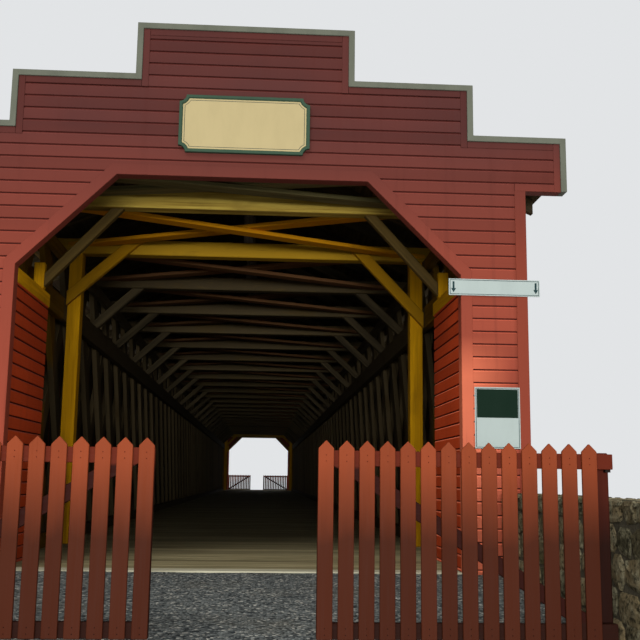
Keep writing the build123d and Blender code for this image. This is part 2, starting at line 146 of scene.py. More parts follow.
# Lap boards and trim of the portals
lap_foot = deck_top - 0.02
corner_foot = deck_top - 0.03
return_foot = deck_top + 0.001  # foot of the boards beside the roadway
course = 0.06275  # exposed height of one lap board
butt_level = deck_top + 1.7745  # foot of one of them
lap_thickness = 0.0095
lap_recess = 0.001
groove_height = 0.0065
bevel_height = 0.006
bevel_step = 0.003  # from the back of the bevel to the groove
step_trim = 0.033
trim_in = coping_width + step_trim  # from a step's edge to its lap boards
foot_trim = 0.038
corner_trim = 0.055
trim_thickness = 0.0125
trim_ease = 0.0015
board_gap = 0.0012
least_board = 0.002  # a strip lower than this isn't laid

# Masonry
mortar_depth = 0.012  # stone faces to the mortar
stone_height = 0.092
stone_length = (0.08, 0.30)
joint = 0.003
corner_cuts = (0.12, 0.34)  # off a stone's corners, as shares of its size
wander = 0.10  # how far a stone's outline strays, as a share of its size
# A stone's rings: share of its outline, depth behind the wall's face, and how far the depth strays
stone_rings = ((1.0, mortar_depth + 0.004, 0.0), (0.94, 0.0075, 0.004), (0.62, 0.003, 0.0025))
least_stone = 0.02  # a stretch shorter than this has no stone
least_rest = 0.7  # a rest under this share of the shortest stone goes to the stone before it
fill_cover = 0.05  # stones this far under the approach are hidden by its fill
seat_cover = 0.15  # and this far behind the seats' fronts, by the seats
gravel_height = 0.003  # of the gravel's uneven surface

# Planks of the floor and of the side walls
plank_width = 0.125
plank_gap = 0.0025
side_board_width = 0.140
side_board_gap = 0.003

# Shingles
exposure = 0.095
shingle_length = 0.190
shingle_width = (0.06, 0.11)
shingle_gap = 0.002
shingle_butt = 0.008
shingle_head = 0.0015
butt_spread = 0.006  # how unevenly the butts lie
butt_wear = 0.0015
sheathing = 0.0085
cap_width = 0.090
cap_length = 1.2
cap_thickness = 0.008
cap_drop = 0.004  # from the ridge to the upper edge of a cap
roof_board_width = 0.2

# Signs
frame_width = 0.013
frame_ease = 0.0015
field_slope = 0.005  # of the moulding between the frame and the field
field_depth = 0.006
notch = 0.034
line_inset = 0.013  # from the plaque's frame to its fine line
line_width = 0.0025
border = 0.005  # from a board's edge to its line
mark = 0.0006  # thickness of a painted mark

# Gates
rail_height = 0.046
strap_root = 1.16  # the straps lie nearer the middle than this, and their knuckles beyond it
nail_radius = 0.0016
nail_spread = 0.009
bolt_radius = 0.006
bolt_shares = (0.1, 0.4, 0.7)  # places along a strap, from its free end
iron_ease = 0.0005


def rgb(red, green, blue):
    """An 8-bit screen colour as a linear colour."""
    channels = []
    for value in (red, green, blue):
        share = value / 255
        channels.append(share / 12.92 if share <= 0.04045 else ((share + 0.055) / 1.055) ** 2.4)
    return (*channels, 1.0)


class Shader:
    """One procedural material, and the nodes that feed its surface.

    grain is the mesh's own vector of that name, and place is the point's place in the frame at rest.
    """

    def __init__(self, name):
        self.material = bpy.data.materials.new(name)
        self.material.use_nodes = True
        self.tree = self.material.node_tree
        self.surface = self.tree.nodes["Principled BSDF"]
        self.surface.inputs["Roughness"].default_value = 0.7
        self.surface.inputs["Specular IOR Level"].default_value = 0.05
        self.grain = self.attribute("grain", "Vector")
        self.place = self.add("ShaderNodeTexCoord", "Object")

    def add(self, kind, output, settings=None, **inputs):
        """Adds a node, feeds its inputs with values or sockets, and returns one of its outputs."""
        node = self.tree.nodes.new(kind)
        for key, value in (settings or {}).items():
            setattr(node, key, value)
        for key, value in inputs.items():
            self.feed(node.inputs[key.replace("_", " ")], value)
        return node.outputs[output]

    def feed(self, socket, value):
        """Links a socket, or sets a plain value."""
        if isinstance(value, bpy.types.NodeSocket):
            self.tree.links.new(value, socket)
        else:
            socket.default_value = value

    def attribute(self, name, output="Fac"):
        """A value that the mesh holds under this name."""
        return self.add("ShaderNodeAttribute", output, {"attribute_name": name})

    def stretch(self, vector, along, across, through):
        """A vector scaled by its own factor in each direction."""
        node = self.tree.nodes.new("ShaderNodeVectorMath")
        node.operation = "MULTIPLY"
        self.feed(node.inputs[0], vector)
        node.inputs[1].default_value = (along, across, through)
        return node.outputs[0]

    def noise(self, vector, scale=1.0, detail=4.0, roughness=0.55, distortion=0.0):
        """Smooth noise from about 0 to 1."""
        return self.add(
            "ShaderNodeTexNoise", 0, Vector=vector, Scale=scale, Detail=detail,
            Roughness=roughness, Distortion=distortion,
        )

    def ramp(self, value, low, high, to_low=0.0, to_high=1.0):
        """A value stretched from one range to another, held at its ends."""
        return self.add(
            "ShaderNodeMapRange", 0, Value=value, From_Min=low, From_Max=high,
            To_Min=to_low, To_Max=to_high,
        )

    def fibres(self, along, across, detail, distortion=0.0):
        """Noise drawn out along the grain."""
        return self.noise(self.stretch(self.grain, along, across, across), 1.0, detail, 0.55, distortion)

    def tinted(self, colour, value, low, high, most, tint):
        """A colour with up to a share of another, as a value goes from low to high."""
        return self.mix(self.ramp(value, low, high, 0, most), colour, tint)

    def mix(self, share, first, second, blend="MIX"):
        """Two colours mixed."""
        return self.add(
            "ShaderNodeMixRGB", 0, {"blend_type": blend}, Fac=share, Color1=first, Color2=second,
        )

    def math(self, operation, first, second=0.0):
        """A sum, product or other plain step of two values."""
        node = self.tree.nodes.new("ShaderNodeMath")
        node.operation = operation
        self.feed(node.inputs[0], first)
        self.feed(node.inputs[1], second)
        return node.outputs[0]

    def part_of(self, vector, axis):
        """One direction of a vector: X, Y or Z."""
        return self.add("ShaderNodeSeparateXYZ", axis, Vector=vector)

    def toned(self, colour, low, high):
        """A colour made darker or lighter by each piece's own tone."""
        tone = self.ramp(self.attribute("tone"), 0, 1, low, high)
        factor = self.add("ShaderNodeCombineXYZ", 0, X=tone, Y=tone, Z=tone)
        return self.mix(1.0, colour, factor, "MULTIPLY")

    def finish(self, colour, height, roughness, bump, distance):
        """Feeds the surface and returns the material."""
        normal = self.add("ShaderNodeBump", 0, Strength=bump, Distance=distance, Height=height)
        for name, value in (("Base Color", colour), ("Roughness", roughness), ("Normal", normal)):
            self.feed(self.surface.inputs[name], value)
        return self.material


# Materials


def painted_boards(name, faded, bright, shade, rough=0.62):
    """Barn paint on boards: faded patches, rain streaks, board-to-board change and a faint grain."""
    look = Shader(name)
    fibre = look.fibres(6, 260, 5)
    patches = look.noise(look.place, scale=1.6, detail=3)
    streaks = look.noise(look.stretch(look.place, 22, 22, 1.3), detail=4)
    colour = look.mix(look.ramp(patches, 0.35, 0.68), faded, bright)
    colour = look.tinted(colour, streaks, 0.52, 0.8, 0.35, shade)
    colour = look.toned(colour, 0.84, 1.12)
    colour = look.tinted(colour, fibre, 0.62, 0.8, 0.35, shade)
    roughness = look.ramp(fibre, 0.3, 0.7, rough - 0.08, rough + 0.1)
    return look.finish(colour, fibre, roughness, bump=0.25, distance=0.0006)


def portal_paint(name, lift):
    """The portals' paint, with painted light low down beside the right jamb and painted shade higher up
    and on the right corner boards.
    """
    look = Shader(name)
    fibre = look.fibres(5, 220, 5)
    patches = look.noise(look.place, scale=1.3, detail=3)
    streaks = look.noise(look.stretch(look.place, 26, 26, 1.1), detail=4)
    level = look.part_of(look.place, "Z")
    across = look.part_of(look.place, "X")
    colour = rgb(168, 78, 56)
    # painted shade: the paint darkens from low on the wall up to the head of the opening
    colour = look.tinted(colour, level, deck_top + 0.5, clear_top - 0.2, 1.0, rgb(134, 64, 50))
    # painted light: lighter low down beside the right jamb
    jamb_painted_light = look.math("MULTIPLY", look.ramp(across, 0.9, 1.06), look.ramp(across, 1.14, 1.32, 1, 0))
    jamb_painted_light = look.math("MULTIPLY", jamb_painted_light, look.ramp(level, deck_top + 0.92, deck_top + 1.12, 0.85, 0.0))
    colour = look.mix(jamb_painted_light, colour, rgb(232, 124, 90))
    # painted shade on the right corner boards
    colour = look.tinted(colour, across, 1.33, 1.35, 0.6, rgb(120, 54, 38))
    # painted shade: darkest above the head of the opening
    colour = look.mix(look.ramp(level, clear_top - 0.35, clear_top + 0.25), colour, rgb(83, 47, 44))
    colour = look.tinted(colour, patches, 0.3, 0.75, 0.35, rgb(120, 54, 44))
    colour = look.tinted(colour, streaks, 0.55, 0.8, 0.3, rgb(84, 40, 34))
    colour = look.toned(colour, 0.86 * lift, 1.12 * lift)
    colour = look.tinted(colour, fibre, 0.6, 0.8, 0.25, rgb(84, 40, 34))
    roughness = look.ramp(fibre, 0.3, 0.7, 0.5, 0.66)
    return look.finish(colour, fibre, roughness, bump=0.25, distance=0.0006)


def gate_paint(name, foot, head, behind=None):
    """Brick red paint on the gates, darker towards the foot: partly grime, partly painted shade. Between
    the rails a frame may be darker still, as painted shade behind the pickets.
    """
    look = Shader(name)
    fibre = look.fibres(5, 220, 5)
    # darker towards the foot along a wavering line: partly grime, partly painted shade
    grime_and_shade_wobble = look.noise(look.stretch(look.place, 9, 9, 3), detail=5)
    level = look.math("ADD", look.part_of(look.place, "Z"), look.math("MULTIPLY", grime_and_shade_wobble, 0.12))
    colour = look.mix(look.ramp(level, deck_top + 0.3, deck_top + 0.54), foot, head)
    # painted shade between the rails, where the frame lies behind the pickets
    if behind is not None:
        level = look.part_of(look.place, "Z")
        above = look.ramp(level, gate_foot + rail_height, gate_foot + rail_height + 0.01)
        under = look.ramp(level, gate_head - rail_height - 0.01, gate_head - rail_height, 1, 0)
        colour = look.mix(look.math("MULTIPLY", above, under), colour, behind)
    colour = look.toned(colour, 0.86, 1.1)
    colour = look.tinted(colour, fibre, 0.6, 0.8, 0.3, rgb(70, 32, 22))
    return look.finish(colour, fibre, look.ramp(fibre, 0.3, 0.7, 0.5, 0.7), 0.25, 0.0006)


def timber(name, dark, light, stain, zones=()):
    """Sawn timber with grain, checks and board-to-board change.

    Each zone turns it to another colour, nearer the middle of the bridge than a place along it: painted
    light and shade by how deep the timber lies in the bridge.
    """
    look = Shader(name)
    rings = look.fibres(1.6, 34, 6, 0.6)
    fibre = look.fibres(9, 330, 4)
    checks = look.fibres(2.2, 120, 2)
    colour = look.mix(look.ramp(rings, 0.34, 0.68), dark, light)
    along = look.math("ABSOLUTE", look.part_of(look.place, "Y"))
    for place, inner in zones:
        colour = look.mix(look.ramp(along, place - 0.02, place + 0.02), inner, colour)
    spots = look.fibres(2.5, 6, 4)
    colour = look.tinted(colour, spots, 0.55, 0.75, 0.6, stain)
    colour = look.toned(colour, 0.76, 1.16)
    colour = look.tinted(colour, fibre, 0.58, 0.78, 0.5, dark)
    colour = look.tinted(colour, checks, 0.7, 0.76, 0.75, rgb(22, 17, 13))
    height = look.math("ADD", look.math("MULTIPLY", fibre, 0.6), rings)
    return look.finish(colour, height, look.ramp(fibre, 0.3, 0.7, 0.68, 0.9), 0.45, 0.0012)


def gravel():
    """Packed dark stone chips."""
    look = Shader("gravel")
    cells = look.add("ShaderNodeTexVoronoi", "Color", Vector=look.place, Scale=95.0)
    edges = look.add("ShaderNodeTexVoronoi", "Distance", Vector=look.place, Scale=95.0)
    patches = look.noise(look.place, scale=3.0, detail=4)
    chip = look.part_of(cells, "X")
    colour = look.mix(look.ramp(chip, 0.1, 0.95), rgb(58, 64, 66), rgb(156, 162, 158))
    colour = look.mix(look.ramp(look.part_of(cells, "Y"), 0.9, 0.93), colour, rgb(214, 214, 202))
    colour = look.tinted(colour, patches, 0.5, 0.75, 0.5, rgb(130, 126, 110))
    colour = look.tinted(colour, edges, 0.0, 0.6, 0.5, rgb(34, 36, 38))
    height = look.ramp(edges, 0.0, 0.7, 1.0, 0.0)
    return look.finish(colour, height, 0.9, bump=0.8, distance=0.004)


def rubble():
    """Lichened field stone, each stone its own grey or tan."""
    look = Shader("rubble")
    tone = look.attribute("tone")
    grit = look.noise(look.grain, scale=55, detail=8, roughness=0.7)
    blotch = look.noise(look.grain, scale=14, detail=7, roughness=0.7)
    colour = look.mix(look.ramp(tone, 0.1, 0.9), rgb(70, 67, 50), rgb(142, 126, 94))
    colour = look.tinted(colour, blotch, 0.46, 0.62, 0.85, rgb(160, 154, 126))
    colour = look.tinted(colour, grit, 0.48, 0.62, 0.9, rgb(40, 38, 28))
    moss = look.noise(look.place, scale=4.5, detail=5, roughness=0.7)
    colour = look.tinted(colour, moss, 0.58, 0.72, 0.6, rgb(84, 88, 50))
    height = look.math("ADD", look.math("MULTIPLY", grit, 0.35), blotch)
    return look.finish(colour, height, 0.9, bump=1.0, distance=0.016)


def mortar():
    """Dark lime mortar, set back between the stones."""
    look = Shader("mortar")
    grit = look.noise(look.place, scale=120, detail=6, roughness=0.7)
    colour = look.mix(look.ramp(grit, 0.3, 0.7), rgb(62, 58, 48), rgb(104, 98, 82))
    return look.finish(colour, grit, 0.95, bump=0.6, distance=0.003)


def shingle_wood():
    """Split shingles gone grey, each its own tone, with darker grain and patches of moss."""
    look = Shader("shingle_wood")
    tone = look.attribute("tone")
    fibre = look.fibres(8, 240, 5)
    colour = look.mix(tone, rgb(88, 80, 70), rgb(138, 128, 114))
    colour = look.tinted(colour, fibre, 0.45, 0.75, 0.7, rgb(60, 54, 47))
    moss = look.noise(look.place, scale=1.3, detail=5, roughness=0.65)
    colour = look.tinted(colour, moss, 0.6, 0.78, 0.45, rgb(82, 86, 58))
    return look.finish(colour, fibre, 0.88, bump=0.5, distance=0.0015)


def flat_paint(name, colour, worn, rough=0.45, dirt=0.25):
    """Smooth sign or metal paint with faint dirt."""
    look = Shader(name)
    marks = look.noise(look.stretch(look.place, 9, 9, 3), detail=6, roughness=0.65)
    fine = look.noise(look.place, scale=180, detail=3)
    shade = look.tinted(colour, marks, 0.45, 0.8, dirt, worn)
    return look.finish(shade, fine, look.ramp(marks, 0.3, 0.8, rough, rough + 0.2), 0.12, 0.0005)


def old_iron():
    """Black iron with rust in its pits."""
    look = Shader("old_iron")
    pits = look.noise(look.place, scale=160, detail=6, roughness=0.6)
    colour = look.mix(look.ramp(pits, 0.5, 0.75), rgb(40, 34, 31), rgb(104, 62, 40))
    look.surface.inputs["Metallic"].default_value = 0.5
    return look.finish(colour, pits, look.ramp(pits, 0.3, 0.7, 0.5, 0.8), 0.35, 0.0008)


portal_red = portal_paint("portal_paint", 1.0)
# lap board paints: the portal red lifted as a painted highlight on the top bevels, and a dark red as
# painted shade in the grooves under the butts
bevel_highlight = portal_paint("worn_edge_paint", 1.45)
groove_shade_red = flat_paint("groove_shade_red", rgb(82, 36, 31), rgb(62, 28, 25), 0.7)
# the walls beside the roadway take a brighter, more orange copy of the red: painted light
return_red = painted_boards("return_red", rgb(190, 70, 34), rgb(208, 80, 40), rgb(150, 56, 30))
# gate paints: the frames and posts darker than the pickets, as painted shade behind them
gate_red = gate_paint("gate_paint", rgb(70, 32, 18), rgb(134, 62, 35))
gate_frame_red = gate_paint("gate_frame_paint", rgb(40, 18, 11), rgb(92, 34, 19), rgb(44, 15, 9))
gate_post_red = gate_paint("gate_post_paint", rgb(38, 16, 10), rgb(84, 32, 20))
side_red = painted_boards("side_red", rgb(118, 50, 42), rgb(142, 60, 48), rgb(74, 38, 34), 0.72)
ochre = timber("ochre_timber", rgb(186, 132, 10), rgb(226, 166, 16), rgb(140, 98, 14))
# timber zones: lit colours near the portals as painted light, darker browns further in as painted shade
deep_shade_brown = rgb(84, 72, 50)
second_tie = 14.4  # the second tie beam's painted light starts this far from the middle of the bridge
tie_wood = timber(
    "tie_wood", rgb(138, 112, 42), rgb(192, 166, 76), rgb(92, 72, 32),
    zones=((second_tie, rgb(168, 130, 30)), (13.4, deep_shade_brown)),
)
brace_wood = timber(
    "brace_wood", rgb(92, 86, 54), rgb(126, 116, 76), rgb(70, 58, 36),
    zones=((15.03, rgb(240, 164, 22)), (13.8, rgb(110, 76, 48))),
)
knee_wood = timber(
    "knee_wood", rgb(84, 68, 36), rgb(112, 90, 46), rgb(64, 50, 30),
    zones=((second_tie, rgb(180, 132, 20)),),
)
old_wood = timber(
    "old_wood", rgb(96, 70, 16), rgb(126, 94, 28), rgb(60, 44, 20), zones=((14.0, deep_shade_brown),),
)
inner_wood = timber("inner_wood", rgb(58, 50, 36), rgb(90, 78, 54), rgb(42, 36, 26))
grey_wood = timber("grey_wood", rgb(84, 80, 74), rgb(126, 120, 110), rgb(60, 56, 52))
deck_wood = timber("deck_wood", rgb(124, 116, 84), rgb(168, 158, 122), rgb(96, 88, 62))
pale_wood = timber("pale_wood", rgb(188, 184, 156), rgb(218, 214, 186), rgb(152, 146, 118))
gravel_top = gravel()
stone = rubble()
bed_mortar = mortar()
shingle = shingle_wood()
sage = flat_paint("sage_paint", rgb(106, 109, 96), rgb(74, 76, 66), dirt=0.5)
plaque_green = flat_paint("plaque_green", rgb(60, 82, 66), rgb(40, 58, 48))
plaque_cream = flat_paint("plaque_cream", rgb(186, 170, 126), rgb(152, 138, 102), 0.55)
board_white = flat_paint("board_white", rgb(174, 186, 182), rgb(142, 152, 148), 0.5)
board_green = flat_paint("board_green", rgb(18, 38, 27), rgb(14, 30, 22), 0.5)
board_ink = flat_paint("board_ink", rgb(38, 60, 62), rgb(28, 44, 46), 0.5)
iron = old_iron()


def grain_of(points, along, across, chance):
    """Each point's place along, across and through the grain, with a shift of the piece's own."""
    shift = Vector([chance.uniform(-40, 40) for _ in range(3)])
    axes = Matrix((along, across, along.cross(across)))
    middle = sum(points, Vector()) / len(points)
    return [axes @ (point - middle) + shift for point in points]


class Pieces:
    """Many small pieces gathered into one mesh, each with its tone and the run of its grain."""

    def __init__(self, seed):
        self.chance = random.Random(seed)
        self.points = []
        self.faces = []
        self.tones = []
        self.grains = []
        self.face_materials = []

    def add(self, corners, faces, along, across, material=0, tone=None):
        """One piece: its corners, its faces, and the directions along and across its grain.

        The material and the tone are one value for the piece, or a list for its faces or corners.
        """
        start = len(self.points)
        tone = self.chance.random() if tone is None else tone
        self.tones += tone if isinstance(tone, list) else [tone] * len(corners)
        self.face_materials += material if isinstance(material, list) else [material] * len(faces)
        self.points += corners
        self.grains += grain_of(corners, along, across, self.chance)
        self.faces += [[start + index for index in face] for face in faces]

    def bar(self, centre, along, across, size, chamfer=0.0, material=0):
        """A straight board or bar with chamfered edges. size is (length, width, thickness)."""
        along = along.normalized()
        across = across.normalized()
        through = along.cross(across)
        length, width, thickness = (side / 2 for side in size)  # reach from the centre
        ring = [
            (-width, chamfer - thickness), (chamfer - width, -thickness),
            (width - chamfer, -thickness), (width, chamfer - thickness),
            (width, thickness - chamfer), (width - chamfer, thickness),
            (chamfer - width, thickness), (-width, thickness - chamfer),
        ]
        if chamfer <= 0:
            ring = ring[::2]
        count = len(ring)
        corners = [
            centre + along * length * end + across * y + through * z
            for end in (-1, 1) for y, z in ring
        ]
        faces = ring_faces(count, 2) + [tuple(range(count - 1, -1, -1)), tuple(range(count, 2 * count))]
        self.add(corners, faces, along, across, material)

    def board(self, low, high, along, chamfer=0.0, material=0):
        """An upright or level board between two corners, with its grain along X, Y or Z."""
        low, high = Vector(low), Vector(high)
        size = high - low
        others = [axis for axis in (X, Y, Z) if axis != along]
        across, through = sorted(others, key=lambda axis: -size.dot(axis))
        lengths = [size.dot(axis) for axis in (along, across, through)]
        self.bar((low + high) / 2, along, across, lengths, chamfer, material)

    def turned(self):
        """The pieces again at the other end of the bridge."""
        count = len(self.points)
        self.points += [Vector((-p.x, -p.y, p.z)) for p in self.points]
        self.tones += self.tones
        self.grains += self.grains
        self.faces += [[count + index for index in face] for face in self.faces]
        self.face_materials += self.face_materials

    def build(self, name, materials, replaced=(), body="root"):
        """Makes the mesh and its object, with outward faces."""
        mesh = bpy.data.meshes.new(name)
        mesh.from_pydata([tuple(p) for p in self.points], [], self.faces)
        tone = mesh.attributes.new("tone", "FLOAT", "POINT")
        tone.data.foreach_set("value", self.tones)
        grain = mesh.attributes.new("grain", "FLOAT_VECTOR", "POINT")
        grain.data.foreach_set("vector", [value for vector in self.grains for value in vector])
        for material in materials:
            mesh.materials.append(material)
        mesh.polygons.foreach_set("material_index", self.face_materials)
        form = bmesh.new()
        form.from_mesh(mesh)
        bmesh.ops.recalc_face_normals(form, faces=form.faces)
        form.to_mesh(mesh)
        form.free()
        hand_over(stand(name, mesh), body, replaced)


# Dressed copies of timbers: the frame's own form with eased edges, grain and tone


def loose_parts(form):
    """Groups of vertices that hang together."""
    left = set(form.verts)
    groups = []
    for start in form.verts:
        if start not in left:
            continue
        left.remove(start)
        group = [start]
        for vert in group:
            for edge in vert.link_edges:
                other = edge.other_vert(vert)
                if other in left:
                    left.remove(other)
                    group.append(other)
        groups.append(group)
    return groups


def grain_axes(group):
    """The direction of a part's longest edge, and of its longest edge square to it.

    Edges of one length are told apart by their directions, so each run takes the same ones.
    """
    edges = {edge for vert in group for edge in vert.link_edges}
    spans = [edge.verts[1].co - edge.verts[0].co for edge in edges]
    spans = [span if max(span, key=abs) > 0 else -span for span in spans]
    spans.sort(key=lambda span: [round(value, 5) for value in (-span.length, *span)])
    along = spans[0].normalized()
    square = [span for span in spans if abs(span.normalized().dot(along)) < 0.2]
    across = square[0] if square else along.orthogonal()
    across = (across - along * across.dot(along)).normalized()
    return along, across


def plain_form(node):
    """The frame's own form of a node, with one face for each of its flat sides."""
    form = bmesh.new()
    form.from_mesh(frame["nodes"][node].data)
    bmesh.ops.remove_doubles(form, verts=form.verts, dist=1e-5)
    bmesh.ops.dissolve_limit(form, angle_limit=math.radians(1), verts=form.verts, edges=form.edges)
    form.normal_update()
    return form


def stand_copy(form, name, material):
    """Turns a form into an object of one material."""
    mesh = bpy.data.meshes.new(name)
    form.to_mesh(mesh)
    form.free()
    mesh.materials.append(material)
    return stand(name, mesh)


def dress(node, material, ease):
    """Stands a copy of a node in its place, with eased edges and grain that follows each piece."""
    form = plain_form(node)
    least = math.radians(30)
    sharp = [edge for edge in form.edges if edge.is_manifold and edge.calc_face_angle() > least]
    bmesh.ops.bevel(form, geom=sharp, offset=ease, segments=1, affect="EDGES", clamp_overlap=True)
    chance = random.Random(node)
    tone = form.verts.layers.float.new("tone")
    grain = form.verts.layers.float_vector.new("grain")
    for group in sorted(loose_parts(form), key=lambda part: min((v.co.y, v.co.x, v.co.z) for v in part)):
        value = chance.random()
        places = grain_of([vert.co for vert in group], *grain_axes(group), chance)
        for vert, place in zip(group, places):
            vert[tone] = value
            vert[grain] = place
    copy = stand_copy(form, f"{node}_dressed", material)
    hand_over(copy, frame["nodes"][node]["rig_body"], [node])


# Lap siding


def lap_depth(level, butt):
    """How far a lap board stands out at a level: its face, a short bevel and a groove under the next."""
    groove = butt + course - groove_height
    if level >= groove:
        return lap_recess
    share = max(0.0, (level - groove + bevel_height) / bevel_height)
    return lap_thickness + (lap_recess + bevel_step - lap_thickness) * share


def lap_wall(pieces, wall, spans, breaks):
    """Lap boards over a wall, given as its origin, run and outward side.

    spans(level) gives the (start, end) runs of boards at a level.
    """
    first, last = breaks[0], breaks[-1]
    butt = butt_level - course * math.ceil((butt_level - first) / course)
    while butt < last - 1e-6:
        cuts = [b for b in breaks if butt < b < butt + course]
        cuts = [max(butt, first), *cuts, min(butt + course, last)]
        tone = pieces.chance.random()
        for low, high in zip(cuts, cuts[1:]):
            if high - low < least_board:
                continue
            for at_low, at_high in zip(spans(low + 1e-5), spans(high - 1e-5)):
                lap_board(pieces, wall, butt, (low, high), tuple(zip(at_low, at_high)), tone)
        butt += course


def lap_board(pieces, wall, butt, levels, sides, tone):
    """One lap board, with ends that may slope.

    Its face, its groove and its top bevel have the materials 0, 1 and 2: the groove darkened as painted
    shade, the bevel lightened as a painted highlight.
    """
    origin, run, outward = wall
    low, high = levels
    groove = butt + course - groove_height
    bends = [low] + [level for level in (groove - bevel_height, groove) if low < level < high] + [high]
    outline = [(low, 0.0)]
    for first, last in zip(bends, bends[1:]):
        outline.append((first, lap_depth(first, butt)))
        outline.append((last, lap_depth(last - 1e-6, butt)))
    outline.append((high, 0.0))
    corners, tones = [], []
    own = min(1.0, max(0.0, tone + pieces.chance.uniform(-0.12, 0.12)))
    for foot, head in sides:
        for level, depth in outline:
            reach = foot + (head - foot) * (level - low) / (high - low)
            corners.append(origin + run * reach + outward * depth + Z * (level - origin.z))
            # painted shade: each lap board is darker at its butt and lighter towards its top
            tones.append(own + 0.25 * ((level - butt) / course - 0.5))
    count = len(outline)
    faces = [(i, i + 1, count + i + 1, count + i) for i in range(count - 1)]
    materials = [
        1 if level >= groove - 1e-6 else 2 if level >= groove - bevel_height - 1e-6 else 0
        for level, _ in outline[:-1]
    ]
    ends = [tuple(range(count)), tuple(range(2 * count - 1, count - 1, -1))]
    faces += [(count - 1, 0, count, 2 * count - 1), *ends]
    pieces.add(corners, faces, run, Z, materials + [0, 0, 0], tones)


def step_half(level):
    """Half-width of the lap boards at a level of the stepped front."""
    if level < soffit_level + foot_trim:
        return lower_half - corner_trim
    return next(half for half, head in steps if level < head - trim_in) - trim_in


def casing_edge(level):
    """Outer edge of the casing boards at a level, or 0 above them."""
    if level >= casing_head:
        return 0.0
    return casing_out - max(0.0, level - casing_knee)


def front_spans(level):
    """Runs of lap boards at a level of the portal front."""
    half = step_half(level)
    edge = casing_edge(level)
    if edge <= 0:
        return [(-half, half)]
    return [(-half, -edge), (edge, half)]


def portal_front_boards():
    """Lap boards over both portals."""
    pieces = Pieces(11)
    step_heads = [head - trim_in for _, head in steps]
    breaks = sorted([lap_foot, casing_knee, soffit_level + foot_trim, casing_head, *step_heads])
    lap_wall(pieces, (-Y * portal_face, X, -Y), front_spans, breaks)
    pieces.turned()
    pieces.build("portal_lap_siding", [portal_red, groove_shade_red, bevel_highlight])


def portal_trim():
    """Trim boards along the steps and corner boards of both portals."""
    pieces = Pieces(12)

    def flat(side, inner, outer, low, high, along):
        start, end = sorted((side * inner, side * outer))
        front = -portal_face - trim_thickness
        pieces.board((start, front, low), (end, -portal_face, high), along, trim_ease)

    feet = [soffit_level, *(head - trim_in for _, head in steps)]
    for side in (-1, 1):
        for (half, head), foot in zip(steps, feet):
            flat(side, half - trim_in, half - coping_width, foot, head - coping_width, Z)
        for (half, head), (next_half, _) in zip(steps, steps[1:]):
            inner = next_half - coping_width + board_gap
            flat(side, inner, half - trim_in - board_gap, head - trim_in, head - coping_width, X)
        inner = lower_half - corner_trim
        flat(side, inner + board_gap, coping_out - trim_in, soffit_level, soffit_level + foot_trim, X)
        flat(side, inner, lower_half, corner_foot, soffit_level, Z)
    head_half, head = steps[-1]
    reach = head_half - trim_in - board_gap
    flat(1, -reach, reach, head - trim_in, head - coping_width, X)
    pieces.turned()
    pieces.build("portal_trim_boards", [portal_red])


def return_boards():
    """Lap boards on the walls beside the roadway, just inside the portals."""
    pieces = Pieces(13)

    def spans(level):
        return [(board_gap - wall_back, return_end - board_gap)]

    for side in (-1, 1):
        lap_wall(pieces, (X * side * return_face, Y, -X * side), spans, [return_foot, plate_low])
    pieces.turned()
    pieces.build("return_lap_siding", [return_red, groove_shade_red, bevel_highlight])


# Masonry


def approach_level(distance):
    """Height of the approach, this far along the bridge from its middle."""
    share = (distance - portal_face) / (approach_end - portal_face)
    return approach_start_level + (approach_end_level - approach_start_level) * share


def mortar_core(node):
    """Stands the form of a node in its place, with every side but its foot set in."""
    form = plain_form(node)
    moves = []
    for vert in form.verts:
        total = Matrix.Diagonal((1e-6, 1e-6, 1e-6))
        push = Vector()
        for face in vert.link_faces:
            total += Matrix([face.normal * value for value in face.normal])
            if face.normal.z > -0.9:
                push -= face.normal * mortar_depth
        moves.append(total.inverted() @ push)
    for vert, move in zip(form.verts, moves):
        vert.co += move
    hand_over(stand_copy(form, f"{node}_mortar", bed_mortar), "root", [node])


def buried(point):
    """Whether a point lies inside the masonry."""
    x, y, z = abs(point.x), abs(point.y), point.z
    in_parapet = parapet_inner < x < parapet_outer and parapet_start < y < approach_end
    in_parapet = in_parapet and z < parapet_top
    in_fill = x < parapet_inner and backwall < y < approach_end and z < approach_level(y) - fill_cover
    in_seat = x < parapet_outer and seat_front + seat_cover < y <= parapet_start and z < seat_top
    return in_parapet or in_fill or in_seat


def level_spans(outline, level):
    """Where a level line runs inside an outline."""
    cuts = []
    for (first_x, first_z), (last_x, last_z) in zip(outline, outline[1:] + outline[:1]):
        if (first_z > level) != (last_z > level):
            cuts.append(first_x + (last_x - first_x) * (level - first_z) / (last_z - first_z))
    cuts.sort()
    return list(zip(cuts[::2], cuts[1::2]))


